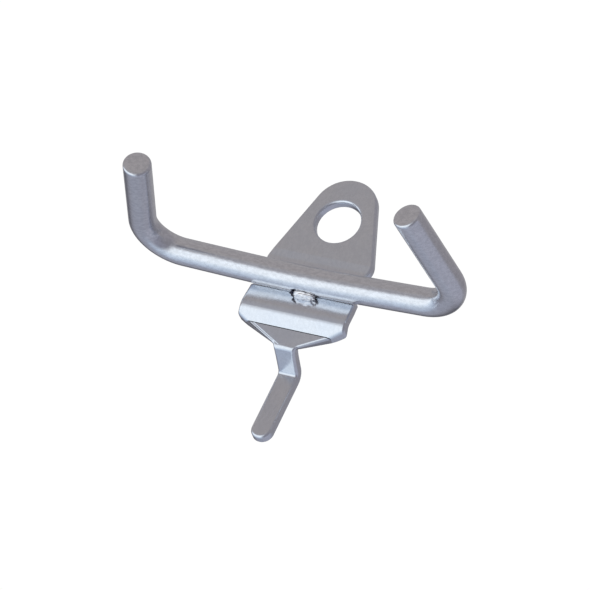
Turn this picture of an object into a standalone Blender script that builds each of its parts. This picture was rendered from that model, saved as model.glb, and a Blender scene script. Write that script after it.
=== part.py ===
"""Double-arm pegboard hook: a bent round rod welded across a pressed sheet-steel back plate.

Frame: the origin is the centre of the fixing hole, on the face that lies against the board.
+X runs along the rod, +Y goes into the board and +Z is up. Dimensions are in millimetres
until MM turns them into metres.
"""

import math

import bmesh
import bpy
from mathutils import Matrix, Vector

MM = 0.001
ASSEMBLY = "pegboard_hook"

# Sheet and rod stock
SHEET = 1.6
ROD_RADIUS = 2.38
FIT_GAP = 0.3

# Back plate, seen from the front. The rod's axis is ROD_DROP below the hole.
HOLE_RADIUS = 3.97
CROWN_RADIUS = 5.8
CROWN_RISE = 2.73
FLARE_ANGLE = math.radians(18.1)
BODY_HALF_WIDTH = 9.7
RIGHT_SHOULDER = (9.6, 3.0)
LEFT_SHOULDER = (10.0, 1.0)
RIGHT_BODY_BOTTOM = -7.1
LEFT_BODY_BOTTOM = -7.7
NOTCH_HALF_WIDTH = 7.4
NOTCH_TOP = 2.2
NOTCH_BOTTOM = -1.0
TAPER_END = (2.6, -11.1)
NECK_TOP = -12.3
TAIL_HALF_WIDTH = 1.87
TAIL_END = -26.4
EDGE_ROUNDING = 0.35

# Back plate, seen from its edge and measured from the rod's axis
SEAT_END_ANGLE = math.radians(64.0)
BODY_TOP_Y = 1.0
BODY_LEAN = 0.078
BODY_FOOT = (1.41, -7.77)
BODY_FOOT_RADIUS = 2.05
CREASE = (2.45, -8.35)
TAPER_FOOT = (2.8, -11.8)
TAPER_BACK_GAP = 0.3
NECK_SIDES_Y = 4.3
NECK_FILLET_SHARE = 0.08
TAIL_ROOT = (8.35, -13.64)
TAIL_LEAN = 0.095

# Hook rod
ROD_DROP = 13.4
BAR_HALF_SPAN = 29.9
BAR_SWEEP = 0.068
BAR_SWEEP_EASE = 8.0
BEND_RADIUS = 6.3
ARM_LENGTH = 23.4
ARM_TOE_IN = math.radians(14.27)
ARM_RISE = math.radians(5.6)
TIP_CHAMFER = 0.45

# The rod's axis lies one sheet and one fit gap in front of the board
ROD_Y = -(SHEET + FIT_GAP + ROD_RADIUS)
ROD_Z = -ROD_DROP
SEAT_RADIUS = ROD_RADIUS + FIT_GAP

# Weld bead under the middle of the bar, measured from the rod's axis
BEAD_HALF_SIZE = (2.8, 1.1, 1.0)
BEAD_CENTRE = (0.8, 0.65, -3.1)


def clear_scene():
    for obj in list(bpy.data.objects):
        bpy.data.objects.remove(obj, do_unlink=True)


def new_collection(name):
    collection = bpy.data.collections.new(name)
    bpy.context.scene.collection.children.link(collection)
    return collection


def metal(name, colour, roughness):
    material = bpy.data.materials.new(name)
    material.use_nodes = True
    shader = material.node_tree.nodes["Principled BSDF"]
    shader.inputs["Base Color"].default_value = (*colour, 1.0)
    shader.inputs["Metallic"].default_value = 1.0
    shader.inputs["Roughness"].default_value = roughness
    return material


def add_mesh(name, mesh, collection, material=None):
    obj = bpy.data.objects.new(name, mesh)
    collection.objects.link(obj)
    if material is not None:
        mesh.materials.append(material)
    return obj


def hide_as_cutter(obj):
    obj.hide_render = True
    obj.display_type = "WIRE"


def curve_to_mesh(curve_object, name, collection, material=None):
    """Turns a curve into a closed mesh object in the same place and removes the curve."""
    bpy.context.view_layer.update()
    depsgraph = bpy.context.evaluated_depsgraph_get()
    mesh = bpy.data.meshes.new_from_object(curve_object.evaluated_get(depsgraph))
    mesh.materials.clear()
    body = bmesh.new()
    body.from_mesh(mesh)
    bmesh.ops.remove_doubles(body, verts=body.verts, dist=0.000002)
    bmesh.ops.recalc_face_normals(body, faces=body.faces)
    body.to_mesh(mesh)
    body.free()
    obj = add_mesh(name, mesh, collection, material)
    obj.matrix_world = curve_object.matrix_world.copy()
    bpy.data.objects.remove(curve_object, do_unlink=True)
    return obj


def fillet(before, corner, after, radius, steps):
    """Points of the arc that rounds one corner of a flat outline."""
    into = (corner - before).normalized()
    out = (after - corner).normalized()
    turn = math.atan2(into.x * out.y - into.y * out.x, into.dot(out))
    if radius <= 0.0 or abs(turn) < 0.01:
        return [corner]
    side = math.copysign(1.0, turn)
    start = corner - into * radius * math.tan(abs(turn) / 2.0)
    centre = start + Vector((-into.y, into.x)) * radius * side
    spoke = start - centre
    points = []
    for step in range(steps + 1):
        angle = turn * step / steps
        cosine = math.cos(angle)
        sine = math.sin(angle)
        points.append(centre + Vector((spoke.x * cosine - spoke.y * sine,
                                       spoke.x * sine + spoke.y * cosine)))
    return points


def rounded(corners, steps=6):
    """A closed outline from corners given as (across, up, radius)."""
    points = []
    count = len(corners)
    for index, (across, up, radius) in enumerate(corners):
        before = Vector(corners[index - 1][:2])
        after = Vector(corners[(index + 1) % count][:2])
        points.extend(fillet(before, Vector((across, up)), after, radius, steps))
    return points


def from_rod_axis(corners):
    """A side-view outline whose corners are measured from the rod's axis."""
    return rounded([(across + ROD_Y, up + ROD_Z, radius) for across, up, radius in corners])


def slab(name, outline, half_depth, placement, collection, material=None):
    """A flat outline in millimetres, extruded to both sides of its plane."""
    curve = bpy.data.curves.new(name, "CURVE")
    curve.dimensions = "2D"
    curve.fill_mode = "BOTH"
    curve.extrude = half_depth * MM
    spline = curve.splines.new("POLY")
    spline.points.add(len(outline) - 1)
    for point, place in zip(spline.points, outline):
        point.co = (place.x * MM, place.y * MM, 0.0, 1.0)
    spline.use_cyclic_u = True
    guide = bpy.data.objects.new(name + "_outline", curve)
    collection.objects.link(guide)
    guide.matrix_world = placement
    return curve_to_mesh(guide, name, collection, material)


# The drawing plane of an outline, turned to the front view (X, Z) and the side view (Y, Z)
FRONT_VIEW = Matrix(((1, 0, 0, 0), (0, 0, -1, 0), (0, 1, 0, 0), (0, 0, 0, 1)))
SIDE_VIEW = Matrix(((0, 0, 1, 0), (1, 0, 0, 0), (0, 1, 0, 0), (0, 0, 0, 1)))


def flare_height(across):
    """Height at which the crown's straight flank reaches a distance from the centre line."""
    tangent_x = CROWN_RADIUS * math.cos(FLARE_ANGLE)
    tangent_z = CROWN_RISE + CROWN_RADIUS * math.sin(FLARE_ANGLE)
    return tangent_z - (across - tangent_x) / math.tan(FLARE_ANGLE)


def flank(shoulder, body_bottom):
    """One side of the blank from shoulder to tail, as corners with x measured outwards."""
    width, radius = shoulder
    return [
        (width, flare_height(width), radius),
        (NOTCH_HALF_WIDTH, ROD_Z + NOTCH_TOP, 1.5),
        (NOTCH_HALF_WIDTH, ROD_Z + NOTCH_BOTTOM, 1.2),
        (BODY_HALF_WIDTH, ROD_Z + NOTCH_BOTTOM, 0.55),
        (BODY_HALF_WIDTH, ROD_Z + body_bottom, 0.9),
        (TAPER_END[0], ROD_Z + TAPER_END[1], 1.0),
        (TAIL_HALF_WIDTH, ROD_Z + NECK_TOP, 2.0),
        (TAIL_HALF_WIDTH, ROD_Z + TAIL_END, TAIL_HALF_WIDTH * 0.98),
    ]


def plate_front_outline():
    """The blank seen from the front: crown, flanks, notches, body, taper and tail."""
    crown = []
    arc_steps = 26
    for step in range(arc_steps + 1):
        angle = FLARE_ANGLE + (math.pi - 2.0 * FLARE_ANGLE) * (1.0 - step / arc_steps)
        crown.append((CROWN_RADIUS * math.cos(angle),
                      CROWN_RISE + CROWN_RADIUS * math.sin(angle), 0.0))
    right = flank(RIGHT_SHOULDER, RIGHT_BODY_BOTTOM)
    left = [(-across, up, radius)
            for across, up, radius in reversed(flank(LEFT_SHOULDER, LEFT_BODY_BOTTOM))]
    return rounded(crown + right + left)


def plate_side_outline():
    """The pressed sheet seen from its edge, drawn from the rod's axis: across is Y, up is Z."""
    front_y = SEAT_RADIUS
    back_y = SEAT_RADIUS + SHEET
    top_z = ROD_DROP + CROWN_RISE + CROWN_RADIUS + 1.0
    end_z = TAIL_END - 1.0
    tail_end_y = TAIL_ROOT[0] - TAIL_LEAN * (TAIL_ROOT[1] - end_z)
    front = [
        (front_y, top_z, 0.0),
        (front_y, 6.3, 0.0),
        (front_y + 0.12, 4.9, 0.0),
        (front_y, 3.0, 0.0),
    ]
    seat_steps = 8
    for step in range(seat_steps + 1):
        angle = SEAT_END_ANGLE * step / seat_steps
        front.append((SEAT_RADIUS * math.cos(angle), -SEAT_RADIUS * math.sin(angle), 0.0))
    front.extend([
        (BODY_TOP_Y, -2.5, 0.2),
        (*BODY_FOOT, BODY_FOOT_RADIUS),
        (*CREASE, 0.15),
        (*TAPER_FOOT, 0.7),
        (*TAIL_ROOT, 0.6),
        (tail_end_y, end_z, 0.0),
    ])
    back = [
        (tail_end_y + SHEET, end_z, 0.0),
        (TAIL_ROOT[0] + SHEET, -12.5, 2.2),
        (back_y - TAPER_BACK_GAP, -10.35, 0.9),
        (back_y - TAPER_BACK_GAP, -7.1, 0.7),
        (BODY_FOOT[0] + SHEET, -6.2, 0.4),
        (BODY_TOP_Y + SHEET, -3.3, 0.4),
    ]
    for step in range(seat_steps + 1):
        angle = math.radians(46.0) * (1.0 - step / seat_steps)
        back.append((back_y * math.cos(angle), -back_y * math.sin(angle), 0.0))
    back.append((back_y, top_z, 0.0))
    return from_rod_axis(front + back)


def side_box(front_y, back_y, bottom_z, top_z):
    """A rectangle in the side view, measured from the rod's axis."""
    return from_rod_axis([
        (front_y, top_z, 0.0),
        (front_y, bottom_z, 0.0),
        (back_y, bottom_z, 0.0),
        (back_y, top_z, 0.0),
    ])


def cut_both_sides(plate, name, outline, inner_x, outer_x, cutters):
    """Clears the metal inside a side-view outline between two distances from the middle."""
    half_width = (outer_x - inner_x) / 2.0
    for side, label in ((1.0, "right"), (-1.0, "left")):
        beside = Matrix.Translation((side * (inner_x + half_width) * MM, 0.0, 0.0))
        cutter = slab(name + "_" + label, outline, half_width, beside @ SIDE_VIEW, cutters)
        hide_as_cutter(cutter)
        add_boolean(plate, cutter, "DIFFERENCE")


def add_boolean(obj, cutter, operation):
    modifier = obj.modifiers.new(operation.title(), "BOOLEAN")
    modifier.operation = operation
    modifier.object = cutter
    modifier.solver = "EXACT"


def add_bevel(obj, width, segments, angle):
    modifier = obj.modifiers.new("Edge rounding", "BEVEL")
    modifier.width = width * MM
    modifier.segments = segments
    modifier.limit_method = "ANGLE"
    modifier.angle_limit = angle
    modifier.harden_normals = False


def make_back_plate(parts, cutters, material):
    plate = slab("back_plate", plate_side_outline(), BODY_HALF_WIDTH + 3.0, SIDE_VIEW,
                 parts, material)
    blank = slab("blank_outline", plate_front_outline(), 20.0, FRONT_VIEW, cutters)
    hide_as_cutter(blank)
    add_boolean(plate, blank, "INTERSECT")

    drill = bmesh.new()
    bmesh.ops.create_cone(drill, cap_ends=True, segments=40, radius1=HOLE_RADIUS * MM,
                          radius2=HOLE_RADIUS * MM, depth=12.0 * MM,
                          matrix=Matrix.Rotation(math.pi / 2.0, 4, "X"))
    drill_mesh = bpy.data.meshes.new("fixing_hole")
    drill.to_mesh(drill_mesh)
    drill.free()
    hole = add_mesh("fixing_hole", drill_mesh, cutters)
    hide_as_cutter(hole)
    add_boolean(plate, hole, "DIFFERENCE")

    # Behind the body's ends, beside the seat
    beside_seat = side_box(BODY_TOP_Y + SHEET + 0.25, SEAT_RADIUS + SHEET + 2.0,
                           NOTCH_BOTTOM - 2.5, NOTCH_BOTTOM + 1.0)
    cut_both_sides(plate, "seat_relief", beside_seat, NOTCH_HALF_WIDTH,
                   BODY_HALF_WIDTH + 1.0, cutters)
    # Behind the taper, where the neck is narrow
    behind_taper = side_box(NECK_SIDES_Y, TAIL_ROOT[0] + 4.0, TAIL_ROOT[1] - 0.5, -8.0)
    cut_both_sides(plate, "neck_relief", behind_taper, TAIL_HALF_WIDTH + NECK_FILLET_SHARE,
                   BODY_HALF_WIDTH, cutters)
    add_bevel(plate, EDGE_ROUNDING, 2, math.radians(50.0))
    return plate


def bar_point(across):
    """The rod's axis along the bar, whose two halves sweep forward from the middle."""
    forward = BAR_SWEEP * (math.hypot(across, BAR_SWEEP_EASE) - BAR_SWEEP_EASE)
    return Vector((across, -forward, 0.0))


def half_rod_route(side):
    """Axis points from the middle of the bar to one arm's tip, on the side -1 or +1."""
    corner = bar_point(BAR_HALF_SPAN * side)
    along = (corner - bar_point((BAR_HALF_SPAN - 1.0) * side)).normalized()
    arm = Vector((-side * math.sin(ARM_TOE_IN),
                  -math.cos(ARM_TOE_IN) * math.cos(ARM_RISE),
                  math.cos(ARM_TOE_IN) * math.sin(ARM_RISE)))
    turn = along.angle(arm)
    reach = BEND_RADIUS * math.tan(turn / 2.0)
    centre = corner + (arm - along).normalized() * BEND_RADIUS / math.cos(turn / 2.0)
    bend_start = corner - along * reach
    normal = along.cross(arm).normalized()
    points = []
    bar_steps = 8
    for step in range(bar_steps):
        points.append(bar_point(bend_start.x * step / bar_steps))
    bend_steps = 12
    for step in range(bend_steps + 1):
        spin = Matrix.Rotation(turn * step / bend_steps, 3, normal)
        points.append(centre + spin @ (bend_start - centre))
    points.append(corner + arm * ARM_LENGTH)
    return points


def make_hook_rod(parts, material):
    left = half_rod_route(-1.0)
    right = half_rod_route(1.0)
    route = list(reversed(left[1:])) + right
    curve = bpy.data.curves.new("hook_rod_route", "CURVE")
    curve.dimensions = "3D"
    curve.bevel_depth = ROD_RADIUS * MM
    curve.bevel_resolution = 8
    curve.use_fill_caps = True
    spline = curve.splines.new("POLY")
    spline.points.add(len(route) - 1)
    for point, place in zip(spline.points, route):
        point.co = (*(place * MM), 1.0)
    guide = bpy.data.objects.new("hook_rod_route", curve)
    parts.objects.link(guide)
    guide.location = (0.0, ROD_Y * MM, ROD_Z * MM)
    rod = curve_to_mesh(guide, "hook_rod", parts, material)
    rod.data.shade_smooth()
    rod.data.set_sharp_from_angle(angle=math.radians(40.0))
    add_bevel(rod, TIP_CHAMFER, 2, math.radians(60.0))
    return rod


def make_weld(parts, cutters, material):
    """The bead of weld metal squeezed out between the rod and the body of the plate."""
    bead = bmesh.new()
    bmesh.ops.create_uvsphere(bead, u_segments=24, v_segments=14, radius=1.0)
    bmesh.ops.scale(bead, vec=[size * MM for size in BEAD_HALF_SIZE], verts=bead.verts)
    mesh = bpy.data.meshes.new("weld_bead")
    bead.to_mesh(mesh)
    bead.free()
    weld = add_mesh("weld_bead", mesh, parts, material)
    weld.location = (BEAD_CENTRE[0] * MM, (ROD_Y + BEAD_CENTRE[1]) * MM,
                     (ROD_Z + BEAD_CENTRE[2]) * MM)
    weld.data.shade_smooth()

    bore = bmesh.new()
    bmesh.ops.create_cone(bore, cap_ends=True, segments=48, radius1=SEAT_RADIUS * MM,
                          radius2=SEAT_RADIUS * MM, depth=12.0 * MM,
                          matrix=Matrix.Rotation(math.pi / 2.0, 4, "Y"))
    bore_mesh = bpy.data.meshes.new("room_for_rod")
    bore.to_mesh(bore_mesh)
    bore.free()
    room_for_rod = add_mesh("room_for_rod", bore_mesh, cutters)
    room_for_rod.location = (0.0, ROD_Y * MM, ROD_Z * MM)
    hide_as_cutter(room_for_rod)
    add_boolean(weld, room_for_rod, "DIFFERENCE")

    body_face_y = BODY_TOP_Y - FIT_GAP
    wall = from_rod_axis([
        (body_face_y, 0.0, 0.0),
        (body_face_y - BODY_LEAN * BEAD_CENTRE[2], -6.0, 0.0),
        (6.0, -6.0, 0.0),
        (6.0, 0.0, 0.0),
    ])
    room_for_plate = slab("room_for_plate", wall, 6.0, SIDE_VIEW, cutters)
    hide_as_cutter(room_for_plate)
    add_boolean(weld, room_for_plate, "DIFFERENCE")
    return weld


def main():
    clear_scene()
    parts = new_collection(ASSEMBLY)
    cutters = new_collection(ASSEMBLY + "_cutters")
    zinc_rod = metal("zinc_plated_rod", (0.75, 0.76, 0.78), 0.24)
    zinc_sheet = metal("zinc_plated_sheet", (0.73, 0.74, 0.76), 0.30)
    weld_metal = metal("zinc_plated_weld", (0.80, 0.81, 0.83), 0.35)
    make_back_plate(parts, cutters, zinc_sheet)
    make_hook_rod(parts, zinc_rod)
    make_weld(parts, cutters, weld_metal)


main()
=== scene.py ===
"""A double-arm pegboard hook: a bent round rod welded across a pressed sheet-steel back plate.

Lengths are in millimetres until MM turns them into metres. The origin is the centre of the
fixing hole on the board face; +X runs along the rod, +Y into the board and +Z up.
"""

import bisect
import math

import bmesh
import bpy
from mathutils import Matrix, Vector, noise


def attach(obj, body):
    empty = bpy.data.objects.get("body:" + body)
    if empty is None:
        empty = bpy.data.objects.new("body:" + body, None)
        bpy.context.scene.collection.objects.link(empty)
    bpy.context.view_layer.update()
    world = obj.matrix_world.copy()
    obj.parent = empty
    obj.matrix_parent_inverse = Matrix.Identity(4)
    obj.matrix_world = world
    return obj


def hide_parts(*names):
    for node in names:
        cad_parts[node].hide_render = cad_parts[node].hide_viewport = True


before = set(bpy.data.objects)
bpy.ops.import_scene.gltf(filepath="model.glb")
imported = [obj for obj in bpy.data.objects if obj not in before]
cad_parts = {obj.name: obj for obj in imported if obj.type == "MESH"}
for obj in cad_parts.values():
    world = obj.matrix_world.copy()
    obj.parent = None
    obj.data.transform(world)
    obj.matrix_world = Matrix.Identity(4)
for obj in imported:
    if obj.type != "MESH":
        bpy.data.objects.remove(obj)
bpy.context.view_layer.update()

MM = 0.001
ALONG_ROD = Vector((1.0, 0.0, 0.0))
UP = Vector((0.0, 0.0, 1.0))

# Sheet and rod stock
SHEET = 1.6
ROD_RADIUS = 2.38
SEAT_RADIUS = 2.68
ROD_DROP = 13.4
ROD_CENTRE = Vector((0.0, -(SEAT_RADIUS + SHEET), -ROD_DROP))

# Back plate, seen from the front: heights are from the rod's axis
HOLE_RADIUS = 3.97
CROWN_RADIUS = 5.8
CROWN_RISE = 2.83
CROWN_HEIGHT = ROD_DROP + CROWN_RISE
FLARE_ANGLE = math.radians(18.1)
RIGHT_SHOULDER = (9.6, 3.0)
LEFT_SHOULDER = (10.0, 1.0)
NOTCH_HALF_WIDTH = 7.4
NOTCH_TOP = 2.2
NOTCH_TOP_RADIUS = 1.5
NOTCH_BOTTOM = -1.0
NOTCH_BOTTOM_RADIUS = 1.2
BODY_HALF_WIDTH = 9.7
BODY_TOP_RADIUS = 0.7
BODY_BOTTOM_RADIUS = 0.65
RIGHT_BODY_BOTTOM = -7.1
LEFT_BODY_BOTTOM = -7.6
LEFT_BODY_SPLAY = 0.35
TAPER_END = (2.2, -11.35)
TAPER_END_RADIUS = 1.0
NECK_TOP = -12.3
NECK_RADIUS = 2.0
TAIL_HALF_WIDTH = 1.87
TAIL_TIP_RADIUS = TAIL_HALF_WIDTH * 0.98
TAIL_END = -26.4

# Back plate, seen from its edge as (Y, Z) from the rod's axis: the folds in the sheet's front
SEAT_END_ANGLE = math.radians(52.0)
SEAT_BACK_ANGLE = math.radians(40.0)
SEAT_TIGHTENING = 0.25
BODY_TOP = Vector((1.42, -2.08))
BODY_BULGE = Vector((0.85, -5.85))
CREASE = Vector((2.45, -8.35))
TAPER_FOOT = Vector((2.8, -11.8))
TAIL_ROOT = Vector((8.35, -13.64))
TAIL_LEAN = 0.095
LOWER_FOLDS = ((BODY_TOP, 0.12), (BODY_BULGE, 3.2), (CREASE, 0.15),
               (TAPER_FOOT, 0.9), (TAIL_ROOT, 0.6))
LEVEL_FOLDS = 3
SHARPEST_FOLD = 0.1
CREASE_WIDTH = 0.14
CREASE_DEPTH = 0.45
UPPER_FOLDS = ((6.3, 0.0), (4.8, 0.16), (3.0, 0.0))
UPPER_FOLD_RADIUS = 3.0
SEAT_RUN_OUT = 2.0
PAST_END = 1.0
CLOSEST_STATIONS = 0.004

# Past the notches the back of the body steps forward, between WING_FOOT and the rod's axis
WING_BACK_Y = 2.85
WING_FOOT = -3.5
WING_SLICE_TOP = NOTCH_BOTTOM + 0.1
WING_STEP = 0.2

# Edges of the blank: the punch rolls the front over, and the press drags one flank back
FRONT_ROLLOVER = 0.55
BACK_ROLLOVER = 0.12
RIM_ANGLE = math.radians(50.0)
FLANK_CURL = 0.6
FLANK_CURL_WIDTH = 1.6
FLANK_CURL_TOP = CREASE.y - 0.1
FLANK_CURL_FADE_ABOVE = 0.7
FLANK_CURL_FADE_BELOW = 2.0

# Hook rod
BAR_HALF_SPAN = 29.9
BAR_SWEEP = 0.068
BAR_SWEEP_EASE = 8.0
BEND_RADIUS = 6.3
ARM_LENGTH = 23.4
ARM_TOE_IN = math.radians(14.27)
ARM_RISE = math.radians(5.6)
TIP_CHAMFER = 0.45

# Weld bead under the middle of the bar, from the rod's axis: a lumpy ball, stretched and cut
BEAD_HALF_SIZE = (2.4, 1.0, 0.65)
BEAD_CENTRE = Vector((0.6, 0.6, -2.65))
BEAD_FULLNESS = 0.94
BEAD_LUMP = 0.24
BEAD_LUMP_SCALE = 2.2
BEAD_LUMP_START = Vector((3.1, 0.4, 7.7))
BEAD_ROD_GAP = 0.05

# Cutters, all longer than what they cut
CYLINDER_LENGTH = 14.0
BEAD_CUTTER_REACH = 6.0
BEAD_CUTTER_RISE = 3.0

# How finely the curves are drawn
CORNER_STEPS = 10
CROWN_STEPS = 48
SEAT_STEPS = 16
FOLD_STEPS = 8
CURL_STEPS = 12
FRONT_ROLLOVER_STEPS = 5
BACK_ROLLOVER_STEPS = 2
CYLINDER_SIDES = 96
ROD_SIDES = 72
BAR_STEPS = 60
BEND_STEPS = 40
ARM_STEPS = 50
CHAMFER_STEPS = 6
TIP_RING_SHARES = (0.7, 0.45, 0.2)
BEAD_SIDES = 72
BEAD_RINGS = 48

# Zinc finish: each scale counts the noise's cells in a metre
CLOUD_SCALE = 210.0
SPANGLE_SCALE = 2100.0
SPECKS_PER_GRAIN = 2.7
BUMP_DEPTH = 0.05

# Painted shade on the weld bead, a dark band at each end: where each band starts and ends, from
# the bead's middle
BEAD_SHADE_LEFT = (-1.58, -1.22)
BEAD_SHADE_RIGHT = (1.9, 2.5)
BEAD_SHADE_RIGHT_STRENGTH = 0.8
BEAD_SHADE_SCALE = 700.0
BEAD_SHADE_RAGGEDNESS = 2.2
# The dark colour painted in as shade at the bead's ends
BEAD_SHADE_COLOUR = (0.015, 0.015, 0.03)


# ---------------------------------------------------------------- outlines


def fillet(before, corner, after, radius, steps):
    """Points of the arc that rounds one corner of a flat outline."""
    into = (corner - before).normalized()
    out = (after - corner).normalized()
    turn = math.atan2(into.x * out.y - into.y * out.x, into.dot(out))
    if radius <= 0.0 or abs(turn) < 0.01:
        return [corner]
    side = math.copysign(1.0, turn)
    start = corner - into * radius * math.tan(abs(turn) / 2.0)
    centre = start + Vector((-into.y, into.x)) * radius * side
    spoke = start - centre
    points = []
    for step in range(steps + 1):
        angle = turn * step / steps
        cosine = math.cos(angle)
        sine = math.sin(angle)
        points.append(centre + Vector((spoke.x * cosine - spoke.y * sine,
                                       spoke.x * sine + spoke.y * cosine)))
    return points


def rounded(corners):
    """A closed outline from corners given as (across, up, radius)."""
    points = []
    count = len(corners)
    for index, (across, up, radius) in enumerate(corners):
        before = Vector(corners[index - 1][:2])
        after = Vector(corners[(index + 1) % count][:2])
        points.extend(fillet(before, Vector((across, up)), after, radius, CORNER_STEPS))
    return points


def crown_point(angle):
    """The point of the crown's arc at an angle up from the right."""
    return CROWN_RADIUS * math.cos(angle), CROWN_HEIGHT + CROWN_RADIUS * math.sin(angle)


def flare_height(across):
    """Height at which the crown's straight flank reaches a distance from the centre line."""
    tangent_across, tangent_up = crown_point(FLARE_ANGLE)
    return tangent_up - (across - tangent_across) / math.tan(FLARE_ANGLE)


def flank(shoulder, body_bottom, splay):
    """One side of the blank from shoulder to tail, as corners measured outwards."""
    width, radius = shoulder
    return [
        (width, flare_height(width), radius),
        (NOTCH_HALF_WIDTH, NOTCH_TOP, NOTCH_TOP_RADIUS),
        (NOTCH_HALF_WIDTH, NOTCH_BOTTOM, NOTCH_BOTTOM_RADIUS),
        (BODY_HALF_WIDTH, NOTCH_BOTTOM, BODY_TOP_RADIUS),
        (BODY_HALF_WIDTH + splay, body_bottom, BODY_BOTTOM_RADIUS),
        (*TAPER_END, TAPER_END_RADIUS),
        (TAIL_HALF_WIDTH, NECK_TOP, NECK_RADIUS),
        (TAIL_HALF_WIDTH, TAIL_END, TAIL_TIP_RADIUS),
    ]


def plate_front_outline():
    """The blank from the front, round the rod's axis: crown, notches, body, taper and tail."""
    crown = []
    for step in range(CROWN_STEPS + 1):
        angle = FLARE_ANGLE + (math.pi - 2.0 * FLARE_ANGLE) * (1.0 - step / CROWN_STEPS)
        crown.append((*crown_point(angle), 0.0))
    right = flank(RIGHT_SHOULDER, RIGHT_BODY_BOTTOM, 0.0)
    left = flank(LEFT_SHOULDER, LEFT_BODY_BOTTOM, LEFT_BODY_SPLAY)
    mirrored = [(-across, up, radius) for across, up, radius in reversed(left)]
    return rounded(crown + right + mirrored)


# ---------------------------------------------------------------- section of the pressed sheet


def behind(before, corner, after):
    """The point one sheet behind a corner of the line that the sheet's front follows."""
    into = (corner - before).normalized()
    out = (after - corner).normalized()
    back = Vector((-into.y - out.y, into.x + out.x))
    return corner + back * SHEET / (1.0 + into.dot(out))


def upper_stations():
    """The flat upper part of the sheet, whose front steps back a little above the rod."""
    line = [Vector((SEAT_RADIUS, CROWN_HEIGHT + CROWN_RADIUS + PAST_END))]
    line.extend(Vector((SEAT_RADIUS + step, height)) for height, step in UPPER_FOLDS)
    front = [line[0]]
    for index in (1, 2):
        front.extend(fillet(*line[index - 1:index + 2], UPPER_FOLD_RADIUS, FOLD_STEPS))
    front.append(line[3])
    return [(point, Vector((SEAT_RADIUS + SHEET, point.y))) for point in front]


def seat_stations():
    """The curve that wraps the back of the rod and tightens towards its lower end."""
    stations = []
    for step in range(SEAT_STEPS + 1):
        share = step / SEAT_STEPS
        radii = (SEAT_RADIUS - SEAT_TIGHTENING * share, SEAT_RADIUS + SHEET)
        angles = (SEAT_END_ANGLE * share, SEAT_BACK_ANGLE * share)
        stations.append(tuple(Vector((math.cos(angle), -math.sin(angle))) * radius
                              for radius, angle in zip(radii, angles)))
    return stations


def fold_stations():
    """The body, the taper, the neck and the tail, as one list of stations for each fold."""
    along_seat = Vector((math.sin(SEAT_END_ANGLE), math.cos(SEAT_END_ANGLE)))
    run_in = BODY_TOP + along_seat * SEAT_RUN_OUT
    run_out = TAIL_ROOT + Vector((-TAIL_LEAN, -1.0)) * (TAIL_ROOT.y - TAIL_END + PAST_END)
    line = [run_in] + [corner for corner, radius in LOWER_FOLDS] + [run_out]
    prolonged = [2.0 * run_in - BODY_TOP] + line + [2.0 * run_out - TAIL_ROOT]
    backs = [behind(*prolonged[index:index + 3]) for index in range(len(line))]
    folds = []
    for index, (corner, radius) in enumerate(LOWER_FOLDS, start=1):
        before, after = line[index - 1], line[index + 1]
        opens = (corner - before).cross(after - corner) > 0.0
        back_radius = max(radius - SHEET, SHARPEST_FOLD) if opens else radius + SHEET
        front = fillet(before, corner, after, radius, FOLD_STEPS)
        back = fillet(*backs[index - 1:index + 2], back_radius, FOLD_STEPS)
        folds.append(list(zip(front, back)))
    return folds + [[(run_out, backs[-1])]]


def point_at(line, height):
    """The point where a line that runs downwards passes a height."""
    for above, below in zip(line, line[1:]):
        if above.y >= height >= below.y and above.y > below.y:
            return above.lerp(below, (above.y - height) / (above.y - below.y))
    return None


def sheet_stations():
    """Pairs of front and back points: level down to the crease, square to the neck below."""
    above = upper_stations() + seat_stations()
    folds = fold_stations()
    before_crease = above + [pair for fold in folds[:LEVEL_FOLDS - 1] for pair in fold]
    level = above + [pair for fold in folds[:LEVEL_FOLDS] for pair in fold]
    bent = [pair for fold in folds[LEVEL_FOLDS:] for pair in fold]
    groove = [CREASE + Vector((0.0, CREASE_WIDTH / 2.0)),
              CREASE + Vector((CREASE_DEPTH, 0.0)),
              CREASE - Vector((0.0, CREASE_WIDTH / 2.0))]
    front_line = [front for front, back in before_crease] + groove
    back_line = [back for front, back in level] + [bent[0][1]]
    heights = sorted({point.y for point in front_line + back_line}, reverse=True)
    stations = []
    for height in heights:
        front = point_at(front_line, height)
        back = point_at(back_line, height)
        apart = not stations or stations[-1][0].y - height > CLOSEST_STATIONS
        if front is not None and back is not None and apart:
            stations.append((front, back))
    return stations + bent


# ---------------------------------------------------------------- mesh helpers


def link_mesh(name, body):
    """An object that takes over a bmesh."""
    mesh = bpy.data.meshes.new(name)
    body.to_mesh(mesh)
    body.free()
    obj = bpy.data.objects.new(name, mesh)
    bpy.context.scene.collection.objects.link(obj)
    return obj


def prism(name, outline, low, high, along):
    """An outline extruded between two positions along axis "X" or "Y", as an object."""
    def place(point, depth):
        if along == "X":
            return Vector((depth, point.x, point.y)) * MM
        return Vector((point.x, depth, point.y)) * MM

    body = bmesh.new()
    near = [body.verts.new(place(point, low)) for point in outline]
    far = [body.verts.new(place(point, high)) for point in outline]
    body.faces.new(near)
    body.faces.new(far)
    for index in range(len(outline)):
        following = (index + 1) % len(outline)
        body.faces.new((near[index], near[following], far[following], far[index]))
    bmesh.ops.recalc_face_normals(body, faces=body.faces)
    return link_mesh(name, body)


def long_cylinder(name, radius, centre, turned_about):
    """A cutter: an upright cylinder laid down by a quarter turn about axis "X" or "Y"."""
    body = bmesh.new()
    bmesh.ops.create_cone(body, cap_ends=True, segments=CYLINDER_SIDES, radius1=radius * MM,
                          radius2=radius * MM, depth=CYLINDER_LENGTH * MM,
                          matrix=Matrix.Rotation(math.pi / 2.0, 4, turned_about))
    obj = link_mesh(name, body)
    obj.data.transform(Matrix.Translation(Vector(centre) * MM))
    return obj


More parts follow.
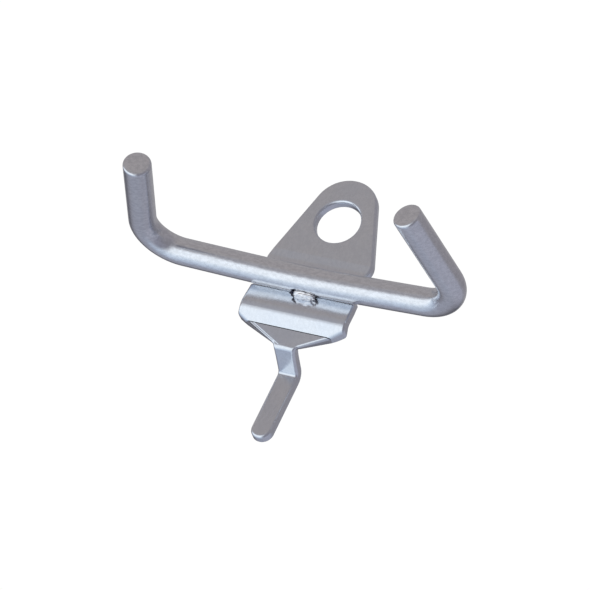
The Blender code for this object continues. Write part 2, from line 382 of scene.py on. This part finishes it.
def cut(obj, cutter):
    """Takes a cutter out of an object by an exact Boolean, and removes the cutter."""
    modifier = obj.modifiers.new("cut", "BOOLEAN")
    modifier.operation = "DIFFERENCE"
    modifier.object = cutter
    modifier.solver = "EXACT"
    bpy.context.view_layer.update()
    depsgraph = bpy.context.evaluated_depsgraph_get()
    result = bpy.data.meshes.new_from_object(obj.evaluated_get(depsgraph))
    obj.modifiers.clear()
    obj.data = result
    bpy.data.objects.remove(cutter, do_unlink=True)


def smooth(obj, sharp_degrees):
    """Smooth shading, with the edges that turn by more than an angle left crisp."""
    obj.data.shade_smooth()
    obj.data.set_sharp_from_angle(angle=math.radians(sharp_degrees))
    modifier = obj.modifiers.new("Even shading", "WEIGHTED_NORMAL")
    modifier.keep_sharp = True
    modifier.weight = 60


# ---------------------------------------------------------------- back plate


def round_rim(body, width, steps, face_side):
    """Rounds the rims of the flat blank's front (-1) or back (+1) face."""
    body.normal_update()
    rims = [edge for edge in body.edges
            if edge.calc_face_angle(0.0) > RIM_ANGLE
            and any(face.normal.y * face_side > 0.9 for face in edge.link_faces)]
    bmesh.ops.bevel(body, geom=rims, offset=width * MM, segments=steps, profile=0.5,
                    affect="EDGES", clamp_overlap=False, offset_type="OFFSET")


def slice_across(body, place, normal, low=-math.inf, high=math.inf):
    """Cuts an edge loop through the part of the blank between two heights."""
    faces = [face for face in body.faces
             if low * MM < face.calc_center_median().z < high * MM]
    edges = {edge for face in faces for edge in face.edges}
    verts = {vert for face in faces for vert in face.verts}
    bmesh.ops.bisect_plane(body, geom=[*verts, *edges, *faces], dist=0.0005 * MM,
                           plane_co=place * MM, plane_no=normal)


def slice_wings(body):
    """Edge loops at the notches' walls, where the back of the body's ends steps forward."""
    for side in (-1.0, 1.0):
        for inset in (0.0, WING_STEP):
            place = ALONG_ROD * side * (NOTCH_HALF_WIDTH + inset)
            slice_across(body, place, ALONG_ROD, WING_FOOT, WING_SLICE_TOP)


def curl_flank(body):
    """Drags the front of the taper's left slanting edge back towards the board."""
    corner = Vector((-BODY_HALF_WIDTH, 0.0, LEFT_BODY_BOTTOM))
    along = (Vector((-TAPER_END[0], 0.0, TAPER_END[1])) - corner).normalized()
    inward = Vector((-along.z, 0.0, along.x))
    for step in range(1, CURL_STEPS + 1):
        place = corner + inward * FLANK_CURL_WIDTH * step / CURL_STEPS
        slice_across(body, place, inward, NECK_TOP, FLANK_CURL_TOP)
    for vert in body.verts:
        place = vert.co / MM
        depth = (place - corner).dot(inward)
        if NECK_TOP < place.z < FLANK_CURL_TOP and depth < FLANK_CURL_WIDTH:
            share = 1.0 - max(depth, 0.0) / FLANK_CURL_WIDTH
            fade = min(1.0, (place.z - NECK_TOP) / FLANK_CURL_FADE_BELOW,
                       (FLANK_CURL_TOP - place.z) / FLANK_CURL_FADE_ABOVE)
            thinning = 1.0 - place.y / SHEET
            vert.co.y += FLANK_CURL * share * share * fade * thinning * MM


def press(body, stations):
    """Carries the flat blank onto the pressed sheet, whose front it follows height by height."""
    falls = [-front.y for front, back in stations]
    for vert in body.verts:
        place = vert.co / MM
        index = min(max(bisect.bisect_right(falls, -place.z) - 1, 0), len(stations) - 2)
        share = (-place.z - falls[index]) / (falls[index + 1] - falls[index])
        front, back = (stations[index][side].lerp(stations[index + 1][side], share)
                       for side in (0, 1))
        past_notch = abs(place.x) > NOTCH_HALF_WIDTH + WING_STEP / 2.0
        if past_notch and WING_FOOT < front.y < 0.0:
            back.x = min(back.x, WING_BACK_Y)
        pressed = front.lerp(back, place.y / SHEET)
        vert.co = (Vector((place.x, pressed.x, pressed.y)) + ROD_CENTRE) * MM


def make_plate():
    """One flat blank, punched and then pressed: its depth runs from the front to the back."""
    plate = prism("plate", plate_front_outline(), 0.0, SHEET, "Y")
    cut(plate, long_cylinder("bore", HOLE_RADIUS, (0.0, SHEET / 2.0, ROD_DROP), "X"))
    stations = sheet_stations()
    body = bmesh.new()
    body.from_mesh(plate.data)
    round_rim(body, FRONT_ROLLOVER, FRONT_ROLLOVER_STEPS, -1.0)
    round_rim(body, BACK_ROLLOVER, BACK_ROLLOVER_STEPS, 1.0)
    for front, back in stations[1:-1]:
        slice_across(body, UP * front.y, UP)
    slice_wings(body)
    curl_flank(body)
    press(body, stations)
    bmesh.ops.recalc_face_normals(body, faces=body.faces)
    body.to_mesh(plate.data)
    body.free()
    smooth(plate, sharp_degrees=20.0)
    return plate


# ---------------------------------------------------------------- hook rod


def bar_point(across):
    """The rod's axis along the bar, whose two halves sweep forward from the middle."""
    forward = BAR_SWEEP * (math.hypot(across, BAR_SWEEP_EASE) - BAR_SWEEP_EASE)
    return Vector((across, -forward, 0.0))


def half_rod_route(side):
    """Axis points from the middle of the bar, round one bend and along its arm to the tip."""
    corner = bar_point(BAR_HALF_SPAN * side)
    along = (corner - bar_point((BAR_HALF_SPAN - 1.0) * side)).normalized()
    arm = Vector((-side * math.sin(ARM_TOE_IN),
                  -math.cos(ARM_TOE_IN) * math.cos(ARM_RISE),
                  math.cos(ARM_TOE_IN) * math.sin(ARM_RISE)))
    turn = along.angle(arm)
    reach = BEND_RADIUS * math.tan(turn / 2.0)
    centre = corner + (arm - along).normalized() * BEND_RADIUS / math.cos(turn / 2.0)
    bend_start = corner - along * reach
    normal = along.cross(arm).normalized()
    points = [bar_point(bend_start.x * step / BAR_STEPS) for step in range(BAR_STEPS)]
    for step in range(BEND_STEPS + 1):
        spin = Matrix.Rotation(turn * step / BEND_STEPS, 3, normal)
        points.append(centre + spin @ (bend_start - centre))
    bend_end = points[-1]
    tip = corner + arm * ARM_LENGTH
    points.extend(bend_end.lerp(tip, step / ARM_STEPS) for step in range(1, ARM_STEPS + 1))
    return points


def tip_rings(end, outward):
    """Centre and radius of the rings that close one cut end, from the rod's side inwards."""
    rings = []
    for step in range(1, CHAMFER_STEPS + 1):
        angle = math.radians(90.0) * step / CHAMFER_STEPS
        rings.append((end - outward * TIP_CHAMFER * (1.0 - math.sin(angle)),
                      ROD_RADIUS - TIP_CHAMFER * (1.0 - math.cos(angle))))
    rings.extend((end, (ROD_RADIUS - TIP_CHAMFER) * share) for share in TIP_RING_SHARES)
    return rings


def rod_rings():
    """Centre, radius and direction of every ring of the rod, from the left tip to the right."""
    route = list(reversed(half_rod_route(-1.0)[1:])) + half_rod_route(1.0)
    start_out = (route[0] - route[1]).normalized()
    end_out = (route[-1] - route[-2]).normalized()
    rings = [(centre, radius, -start_out)
             for centre, radius in reversed(tip_rings(route[0], start_out))]
    between = [point for point in route[1:-1]
               if (point - route[0]).length > TIP_CHAMFER
               and (point - route[-1]).length > TIP_CHAMFER]
    for index, point in enumerate(between):
        before = between[max(index - 1, 0)]
        after = between[min(index + 1, len(between) - 1)]
        rings.append((point, ROD_RADIUS, (after - before).normalized()))
    rings.extend((centre, radius, end_out) for centre, radius in tip_rings(route[-1], end_out))
    return rings


def make_rod():
    """The round rod, as a skin over its rings with a small face in the middle of each tip."""
    body = bmesh.new()
    up = UP.copy()
    loops = []
    for centre, radius, tangent in rod_rings():
        up = (up - tangent * up.dot(tangent)).normalized()
        across = tangent.cross(up)
        loop = []
        for side in range(ROD_SIDES):
            angle = 2.0 * math.pi * side / ROD_SIDES
            offset = (up * math.cos(angle) + across * math.sin(angle)) * radius
            loop.append(body.verts.new((ROD_CENTRE + centre + offset) * MM))
        loops.append(loop)
    for low, high in zip(loops, loops[1:]):
        for side in range(ROD_SIDES):
            following = (side + 1) % ROD_SIDES
            body.faces.new((low[side], low[following], high[following], high[side]))
    body.faces.new(reversed(loops[0]))
    body.faces.new(loops[-1])
    bmesh.ops.recalc_face_normals(body, faces=body.faces)
    rod = link_mesh("rod", body)
    smooth(rod, sharp_degrees=50.0)
    return rod


# ---------------------------------------------------------------- weld bead


def make_bead():
    """The bead of weld metal squeezed out between the rod and the body of the plate."""
    body = bmesh.new()
    bmesh.ops.create_uvsphere(body, u_segments=BEAD_SIDES, v_segments=BEAD_RINGS, radius=1.0)
    for vert in body.verts:
        lump = noise.noise(vert.co * BEAD_LUMP_SCALE + BEAD_LUMP_START)
        vert.co *= BEAD_FULLNESS + lump * BEAD_LUMP
        vert.co = Vector([value * size for value, size in zip(vert.co, BEAD_HALF_SIZE)])
    bead = link_mesh("bead", body)
    bead.data.transform(Matrix.Scale(MM, 4))
    bead.data.transform(Matrix.Translation((ROD_CENTRE + BEAD_CENTRE) * MM))
    cut(bead, long_cylinder("rod_room", ROD_RADIUS + BEAD_ROD_GAP, ROD_CENTRE, "Y"))
    top = ROD_CENTRE.yz + BODY_TOP
    bulge = ROD_CENTRE.yz + BODY_BULGE
    into_board = Vector((BEAD_CUTTER_REACH, 0.0))
    above = Vector((0.0, BEAD_CUTTER_RISE))
    plate_room = [top, bulge, bulge + into_board, top + into_board + above, top + above]
    cut(bead, prism("plate_room", plate_room, -BEAD_CUTTER_REACH, BEAD_CUTTER_REACH, "X"))
    smooth(bead, sharp_degrees=45.0)
    return bead


# ---------------------------------------------------------------- materials


class Nodes:
    """A short way to write a node tree."""

    def __init__(self, tree):
        self.tree = tree

    def add(self, kind, **values):
        node = self.tree.nodes.new(kind)
        for key, value in values.items():
            setattr(node, key, value)
        return node

    def link(self, source, target):
        self.tree.links.new(source, target)

    def feed(self, value, target):
        """Gives an input another node's output, a colour or a number."""
        if isinstance(value, bpy.types.NodeSocket):
            self.link(value, target)
        elif isinstance(value, tuple):
            target.default_value = (*value, 1.0)
        else:
            target.default_value = value

    def coordinates(self, kind):
        return self.add("ShaderNodeTexCoord").outputs[kind]

    def parts(self, vector):
        node = self.add("ShaderNodeSeparateXYZ")
        self.link(vector, node.inputs[0])
        return node.outputs

    def stretched(self, source, scale):
        mapping = self.add("ShaderNodeMapping")
        mapping.inputs["Scale"].default_value = scale
        self.link(source, mapping.inputs["Vector"])
        return mapping.outputs["Vector"]

    def noise(self, vector, scale, detail=4.0, roughness=0.55):
        node = self.add("ShaderNodeTexNoise")
        node.inputs["Scale"].default_value = scale
        node.inputs["Detail"].default_value = detail
        node.inputs["Roughness"].default_value = roughness
        self.link(vector, node.inputs["Vector"])
        return node.outputs["Fac"]

    def levels(self, value, low, high, to_low=0.0, to_high=1.0):
        node = self.add("ShaderNodeMapRange", clamp=True)
        node.inputs["From Min"].default_value = low
        node.inputs["From Max"].default_value = high
        node.inputs["To Min"].default_value = to_low
        node.inputs["To Max"].default_value = to_high
        self.link(value, node.inputs["Value"])
        return node.outputs["Result"]

    def math(self, operation, first, second):
        node = self.add("ShaderNodeMath", operation=operation)
        self.feed(first, node.inputs[0])
        self.feed(second, node.inputs[1])
        return node.outputs[0]

    def mix(self, share, first, second):
        node = self.add("ShaderNodeMix", data_type="RGBA")
        self.link(share, node.inputs["Factor"])
        self.feed(first, node.inputs[6])
        self.feed(second, node.inputs[7])
        return node.outputs[2]

    def ramp(self, turn, stops):
        """A colour ramp over a full turn, from stops given in degrees."""
        node = self.add("ShaderNodeValToRGB")
        self.link(turn, node.inputs[0])
        elements = node.color_ramp.elements
        while len(elements) < len(stops):
            elements.new(0.5)
        for element, (degrees, colour) in zip(elements, stops):
            element.position = degrees / 360.0 + 0.5
            element.color = (*colour, 1.0)
        return node.outputs["Color"]

    def bump(self, height, strength, distance):
        node = self.add("ShaderNodeBump")
        node.inputs["Strength"].default_value = strength
        node.inputs["Distance"].default_value = distance
        self.link(height, node.inputs["Height"])
        return node.outputs["Normal"]


def new_material(name):
    """A material, its node tree and its shader."""
    material = bpy.data.materials.new(name)
    material.use_nodes = True
    return material, Nodes(material.node_tree), material.node_tree.nodes["Principled BSDF"]


def scaled(colour, factor):
    """A colour made darker or brighter, up to white."""
    return tuple(min(1.0, channel * factor) for channel in colour)


def painted_bead_end_shade(nodes, base):
    """Painted shade at the two ends of the weld bead, darkest at its left end."""
    position = nodes.coordinates("Object")
    from_middle = nodes.math("SUBTRACT", nodes.parts(position)["X"], BEAD_CENTRE.x * MM)
    wander = nodes.math("SUBTRACT", nodes.noise(position, BEAD_SHADE_SCALE), 0.5)
    ragged = nodes.math("MULTIPLY", wander, BEAD_SHADE_RAGGEDNESS * MM)
    across = nodes.math("ADD", from_middle, ragged)
    left = nodes.levels(across, BEAD_SHADE_LEFT[0] * MM, BEAD_SHADE_LEFT[1] * MM, 1.0, 0.0)
    right = nodes.levels(across, BEAD_SHADE_RIGHT[0] * MM, BEAD_SHADE_RIGHT[1] * MM, 0.0, BEAD_SHADE_RIGHT_STRENGTH)
    # Both ends are painted dark as shade, with a ragged edge
    return nodes.mix(nodes.math("MAXIMUM", left, right), base, BEAD_SHADE_COLOUR)


def zinc(name, colour, tint, roughness, grain_scale, grain_bump, stretch, spangle_share,
         painted_shade=None):
    """Bright zinc plate: a metal with cloudy passivation, fine grain and brighter worn edges."""
    material, nodes, shader = new_material(name)
    position = nodes.coordinates("Object")
    along_grain = nodes.stretched(position, stretch)
    cloud = nodes.noise(position, CLOUD_SCALE, 3.0)
    grain = nodes.noise(along_grain, grain_scale, 5.0, 0.6)
    speck = nodes.noise(position, grain_scale * SPECKS_PER_GRAIN, 2.0, 0.5)
    spangle = nodes.noise(along_grain, SPANGLE_SCALE, 3.0, 0.65)
    edge = nodes.add("ShaderNodeNewGeometry").outputs["Pointiness"]

    clouded = nodes.levels(cloud, 0.35, 0.68)
    dulled = nodes.levels(spangle, 0.40, 0.60, spangle_share, 0.0)
    specked = nodes.levels(speck, 0.55, 0.75, 0.0, 0.5)
    worn = nodes.levels(edge, 0.53, 0.62, 0.0, 0.35)
    base = nodes.mix(clouded, colour, tint)
    base = nodes.mix(dulled, base, scaled(colour, 0.8))
    base = nodes.mix(specked, base, scaled(colour, 0.93))
    base = nodes.mix(worn, base, scaled(colour, 1.15))
    # An optional last step paints shade into the colour, used for the weld bead's dark ends
    if painted_shade is not None:
        base = painted_shade(nodes, base)
    nodes.link(base, shader.inputs["Base Color"])
    shader.inputs["Metallic"].default_value = 1.0

    rough = nodes.levels(nodes.math("ADD", grain, cloud), 0.75, 1.25, *roughness)
    nodes.link(rough, shader.inputs["Roughness"])
    height = nodes.math("ADD", grain, nodes.math("MULTIPLY", spangle, spangle_share * 1.6))
    nodes.link(nodes.bump(height, grain_bump, BUMP_DEPTH * MM), shader.inputs["Normal"])
    return material


def sheet_zinc():
    return zinc("zinc_sheet", colour=(0.76, 0.80, 0.86), tint=(0.80, 0.83, 0.87),
                roughness=(0.15, 0.23), grain_scale=1400.0, grain_bump=0.2,
                stretch=(1.0, 1.0, 0.6), spangle_share=0.25)


def rod_zinc():
    return zinc("zinc_rod", colour=(0.81, 0.835, 0.88), tint=(0.85, 0.87, 0.90),
                roughness=(0.15, 0.25), grain_scale=1300.0, grain_bump=0.35,
                stretch=(0.6, 1.0, 1.0), spangle_share=0.6)


def weld_zinc():
    # The weld's colour gets painted shade at both ends of the bead
    return zinc("zinc_weld", colour=(0.90, 0.90, 0.91), tint=(0.94, 0.93, 0.93),
                roughness=(0.14, 0.26), grain_scale=1800.0, grain_bump=0.5,
                stretch=(1.0, 1.0, 1.0), spangle_share=0.2, painted_shade=painted_bead_end_shade)


# ---------------------------------------------------------------- studio


# The studio as the metal sees it: degrees below straight ahead (-Y), and the colour there
ROOM = (
    (-180.0, (0.10, 0.10, 0.12)),
    (-171.0, (0.16, 0.16, 0.18)),
    (-162.0, (0.36, 0.35, 0.37)),
    (-80.0, (0.38, 0.355, 0.36)),
    (-36.0, (0.375, 0.345, 0.35)),
    (-24.0, (0.385, 0.36, 0.36)),
    (-13.0, (0.395, 0.38, 0.40)),
    (5.0, (0.39, 0.38, 0.41)),
    (24.0, (1.06, 1.11, 1.17)),
    (56.0, (1.06, 1.12, 1.18)),
    (80.0, (0.74, 0.83, 0.95)),
    (112.0, (0.47, 0.53, 0.65)),
    (126.0, (0.35, 0.36, 0.43)),
    (144.0, (0.345, 0.355, 0.42)),
    (158.0, (0.25, 0.245, 0.28)),
    (180.0, (0.10, 0.10, 0.12)),
)
# The same for what stands to the right, which takes over between two sideways directions
ROOM_RIGHT = (
    (-180.0, (0.36, 0.36, 0.42)),
    (-155.0, (0.29, 0.275, 0.30)),
    (-80.0, (0.32, 0.30, 0.32)),
    (20.0, (0.27, 0.26, 0.29)),
    (85.0, (0.27, 0.27, 0.33)),
    (115.0, (0.40, 0.405, 0.48)),
    (180.0, (0.38, 0.38, 0.45)),
)
RIGHT_FROM = 0.0
RIGHT_TO = 0.4
BACKDROP_STRENGTH = 1.02

# Lengths from here on are in metres
FLOOR_DEPTH = 0.75
FLOOR_HALF_SIZE = 6.0
WASH_DIRECTION = Vector((0.2, -0.3, 1.0))
WASH_AIM = Vector((0.0, 0.0, -0.013))
WASH_DISTANCE = 1.4
WASH_SIZE = 1.2
WASH_RADIANCE = 1.6

# The camera stands in front of the hook, to its right and below it, and is rolled
CAMERA_PLACE = Vector((0.1844, -0.3637, -0.1984))
CAMERA_BEARING = math.radians(27.213)
CAMERA_TILT_UP = math.radians(24.229)
CAMERA_ROLL = math.radians(23.773)
CAMERA_LENS = 163.65


def room_colour(nodes):
    """The room's colour by direction: a pale sweep in front and below, dim walls elsewhere."""
    direction = nodes.parts(nodes.coordinates("Generated"))
    down = nodes.math("MULTIPLY", direction["Z"], -1.0)
    ahead = nodes.math("MULTIPLY", direction["Y"], -1.0)
    turns = nodes.math("DIVIDE", nodes.math("ARCTAN2", down, ahead), 2.0 * math.pi)
    along_ramp = nodes.math("ADD", turns, 0.5)
    rightness = nodes.levels(direction["X"], RIGHT_FROM, RIGHT_TO)
    return nodes.mix(rightness, nodes.ramp(along_ramp, ROOM),
                     nodes.ramp(along_ramp, ROOM_RIGHT))


def make_world():
    """A white backdrop for the camera, and the room for everything that the metal reflects."""
    world = bpy.data.worlds.new("studio")
    bpy.context.scene.world = world
    world.use_nodes = True
    world.node_tree.nodes.clear()
    nodes = Nodes(world.node_tree)
    backdrop = nodes.add("ShaderNodeBackground")
    backdrop.inputs["Color"].default_value = (1.0, 1.0, 1.0, 1.0)
    backdrop.inputs["Strength"].default_value = BACKDROP_STRENGTH
    room = nodes.add("ShaderNodeBackground")
    nodes.link(room_colour(nodes), room.inputs["Color"])
    mix = nodes.add("ShaderNodeMixShader")
    nodes.link(nodes.add("ShaderNodeLightPath").outputs["Is Camera Ray"], mix.inputs[0])
    nodes.link(room.outputs[0], mix.inputs[1])
    nodes.link(backdrop.outputs[0], mix.inputs[2])
    nodes.link(mix.outputs[0], nodes.add("ShaderNodeOutputWorld").inputs[0])


def make_floor():
    """A plain pale floor, kept out of the metal's reflections."""
    body = bmesh.new()
    bmesh.ops.create_grid(body, x_segments=1, y_segments=1, size=FLOOR_HALF_SIZE)
    floor = link_mesh("floor", body)
    paint, nodes, shader = new_material("floor_paint")
    nodes.feed((0.9, 0.9, 0.9), shader.inputs["Base Color"])
    nodes.feed(0.9, shader.inputs["Roughness"])
    floor.data.materials.append(paint)
    floor.location.z = -FLOOR_DEPTH
    floor.visible_glossy = False


def make_floor_wash():
    """A square soft light overhead that brightens the floor and isn't reflected."""
    towards = WASH_DIRECTION.normalized()
    data = bpy.data.lights.new("floor_wash", "AREA")
    data.shape = "RECTANGLE"
    data.size = WASH_SIZE
    data.size_y = WASH_SIZE
    data.energy = WASH_RADIANCE * math.pi * WASH_SIZE * WASH_SIZE
    wash = bpy.data.objects.new("floor_wash", data)
    wash.location = towards * WASH_DISTANCE + WASH_AIM
    wash.rotation_euler = towards.to_track_quat("Z", "Y").to_euler()
    wash.visible_glossy = False
    bpy.context.scene.collection.objects.link(wash)


def make_camera():
    """A level camera that looks along +Y, rolled, tilted up and turned to its bearing."""
    turn = (Matrix.Rotation(CAMERA_BEARING, 4, "Z")
            @ Matrix.Rotation(math.pi / 2.0 + CAMERA_TILT_UP, 4, "X")
            @ Matrix.Rotation(CAMERA_ROLL, 4, "Z"))
    data = bpy.data.cameras.new("camera")
    data.sensor_width = 36.0
    data.lens = CAMERA_LENS
    data.clip_start = 0.01
    data.clip_end = 50.0
    camera = bpy.data.objects.new("camera", data)
    camera.matrix_world = Matrix.Translation(CAMERA_PLACE) @ turn
    bpy.context.scene.collection.objects.link(camera)
    bpy.context.scene.camera = camera


def main():
    for piece, material, node, slot in (
            (make_plate(), sheet_zinc(), "back_plate", "zinc_sheet"),
            (make_rod(), rod_zinc(), "hook_rod", "zinc_rod"),
            (make_bead(), weld_zinc(), "weld_bead", "zinc_weld")):
        piece.data.materials.clear()
        piece.data.materials.append(material)
        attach(piece, "root")
        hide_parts(node)

    make_world()
    make_floor()
    make_floor_wash()
    make_camera()
    bpy.context.scene.view_settings.view_transform = "Standard"


main()
